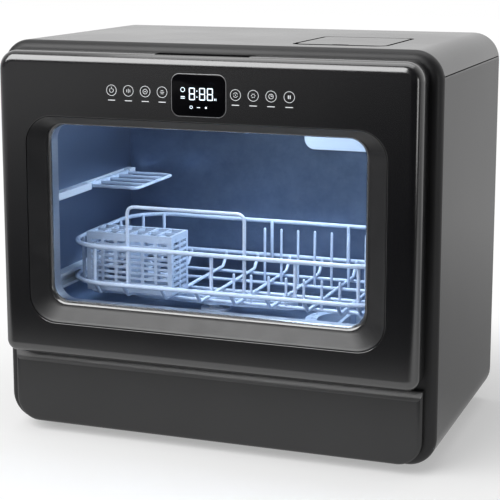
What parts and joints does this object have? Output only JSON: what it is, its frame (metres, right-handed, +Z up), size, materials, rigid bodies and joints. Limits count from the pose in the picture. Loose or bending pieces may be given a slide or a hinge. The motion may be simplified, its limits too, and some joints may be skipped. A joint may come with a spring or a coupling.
{
  "type": "countertop dishwasher",
  "caption": "Countertop dishwasher with a drop-down glass door, a sliding wire rack, a cutlery basket, a fold-up cup shelf and a filling lid.",
  "frame": {"origin": "on the floor, under the middle of the machine's outline", "axes": "+X to the right when facing the door, +Y from the door to the back, +Z up"},
  "size_m": [0.482, 0.316, 0.43],
  "materials": {
    "painted_sheet": "satin",
    "black_plastic": "satin",
    "grey_plastic": "satin",
    "dark_glass": "clear",
    "lens_plastic": "gloss",
    "white_plastic": "satin",
    "pale_plastic": "satin",
    "clear_plastic": "satin",
    "stainless": "brushed",
    "coated_wire": "satin",
    "rubber_black": "matte",
    "rubber_grey": "matte",
    "circuit_board": "satin",
    "lamp_plastic": "frosted",
    "fastener_steel": "bright"
  },
  "bodies": {
    "cabinet": {"top_cover": "painted_sheet", "side_panel_left": "painted_sheet", "side_panel_right": "painted_sheet", "rear_panel": "painted_sheet", "base_tray": "grey_plastic", "feet": "rubber_black", "front_frame": "black_plastic", "lower_panel": "painted_sheet", "rear_screws": "fastener_steel", "hinge_bracket_left": "fastener_steel", "hinge_bracket_right": "fastener_steel", "door_lock": "white_plastic", "tub": "stainless", "tub_gasket": "rubber_grey", "lamp_lens": "lamp_plastic", "lamp_board": "white_plastic", "rack_rails": "white_plastic", "shelf_rail": "white_plastic", "spray_hub": "white_plastic", "sump": "grey_plastic", "wash_pump": "grey_plastic", "wash_duct": "grey_plastic", "heater": "stainless", "drain_pump": "grey_plastic", "drain_duct": "grey_plastic", "water_tank": "clear_plastic", "fill_tray": "grey_plastic", "fill_filter": "stainless", "fan_housing": "grey_plastic", "main_board": "circuit_board", "inlet_valve": "white_plastic", "inlet_connector": "fastener_steel", "drain_spout": "black_plastic", "cord_gland": "black_plastic"},
    "door": {"door_shell": "black_plastic", "window_frame": "grey_plastic", "door_glass": "dark_glass", "door_liner": "stainless", "display_lens": "lens_plastic", "display_module": "white_plastic", "control_board": "circuit_board", "latch_tongue": "white_plastic", "hinge_pins": "fastener_steel", "dispenser_body": "white_plastic"},
    "detergent_lid": {"dispenser_lid": "pale_plastic"},
    "rack": {"rack_rims": "coated_wire", "rack_wires": "coated_wire", "rack_loop": "coated_wire", "rack_tines": "coated_wire", "rack_glides": "pale_plastic"},
    "basket": {"cutlery_basket": "pale_plastic", "basket_grid": "pale_plastic"},
    "spray_arm": {"spray_arm": "pale_plastic"},
    "filter": {"sump_filter": "pale_plastic"},
    "wash_rotor": {"wash_impeller": "white_plastic"},
    "drain_rotor": {"drain_impeller": "white_plastic"},
    "fan_rotor": {"fan_impeller": "white_plastic"},
    "float": {"float_cup": "white_plastic"},
    "lid": {"fill_lid": "painted_sheet"},
    "shelf": {"cup_shelf": "coated_wire"}
  },
  "joints": [
    {"name": "door_hinge", "type": "hinge", "parent": "cabinet", "child": "door", "pos_m": [0, -0.146, 0.107], "axis": [1, 0, 0], "range_deg": [0, 90]},
    {"name": "rack_slide", "type": "slide", "parent": "cabinet", "child": "rack", "axis": [0, -1, 0], "range_m": [0, 0.13]},
    {"name": "basket_lift", "type": "slide", "parent": "rack", "child": "basket", "axis": [0, 0, 1], "range_m": [0, 0.12]},
    {"name": "detergent_lid_slide", "type": "slide", "parent": "door", "child": "detergent_lid", "axis": [1, 0, 0], "range_m": [0, 0.044]},
    {"name": "fill_lid_hinge", "type": "hinge", "parent": "cabinet", "child": "lid", "pos_m": [0.123, 0.0295, 0.4275], "axis": [-1, 0, 0], "range_deg": [0, 100]},
    {"name": "cup_shelf_hinge", "type": "hinge", "parent": "cabinet", "child": "shelf", "pos_m": [-0.196, 0.038, 0.256], "axis": [0, -1, 0], "range_deg": [0, 85]},
    {"name": "spray_arm_spin", "type": "hinge", "parent": "cabinet", "child": "spray_arm", "pos_m": [-0.045, 0.003, 0.13], "axis": [0, 0, 1], "continuous": true},
    {"name": "filter_twist", "type": "hinge", "parent": "cabinet", "child": "filter", "pos_m": [0.11, 0, 0.12], "axis": [0, 0, 1], "range_deg": [0, 60]},
    {"name": "wash_pump_spin", "type": "hinge", "parent": "cabinet", "child": "wash_rotor", "pos_m": [0.037, 0, 0.058], "axis": [1, 0, 0], "continuous": true},
    {"name": "drain_pump_spin", "type": "hinge", "parent": "cabinet", "child": "drain_rotor", "pos_m": [0.11, 0.067, 0.058], "axis": [0, 1, 0], "continuous": true},
    {"name": "fan_spin", "type": "hinge", "parent": "cabinet", "child": "fan_rotor", "pos_m": [-0.15, 0.13, 0.34], "axis": [0, 1, 0], "continuous": true},
    {"name": "float_slide", "type": "slide", "parent": "cabinet", "child": "float", "axis": [0, 0, 1], "range_m": [0, 0.008]}
  ],
  "couplings": [
    {"joint": "rack_slide", "follows": "door_hinge", "m_per_rad": 0.08276}
  ]
}
